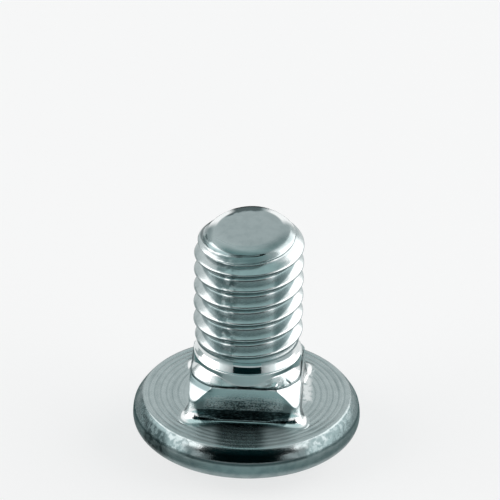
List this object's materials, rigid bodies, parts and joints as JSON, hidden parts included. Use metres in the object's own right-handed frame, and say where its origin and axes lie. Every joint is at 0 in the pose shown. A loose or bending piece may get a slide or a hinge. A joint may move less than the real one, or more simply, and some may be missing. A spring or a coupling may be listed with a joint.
{
  "type": "square neck screw",
  "caption": "Short screw with a low round head, a square neck that stops it turning, and a coarse metric thread.",
  "frame": {"origin": "centre of the flat bearing face under the head", "axes": "+Z along the shank to the tip, so the head's crown is the lowest point; -Y is the side that the picture shows, and the flats of the neck stand 3 degrees off the X and Y axes"},
  "size_m": [0.0122, 0.0122, 0.0132],
  "materials": {
    "zinc_plated_steel": "bright zinc plating on cold-headed steel, smooth and shiny, with fine turning rings on the bearing face"
  },
  "bodies": {
    "root": {"screw": "zinc_plated_steel"}
  },
  "joints": []
}
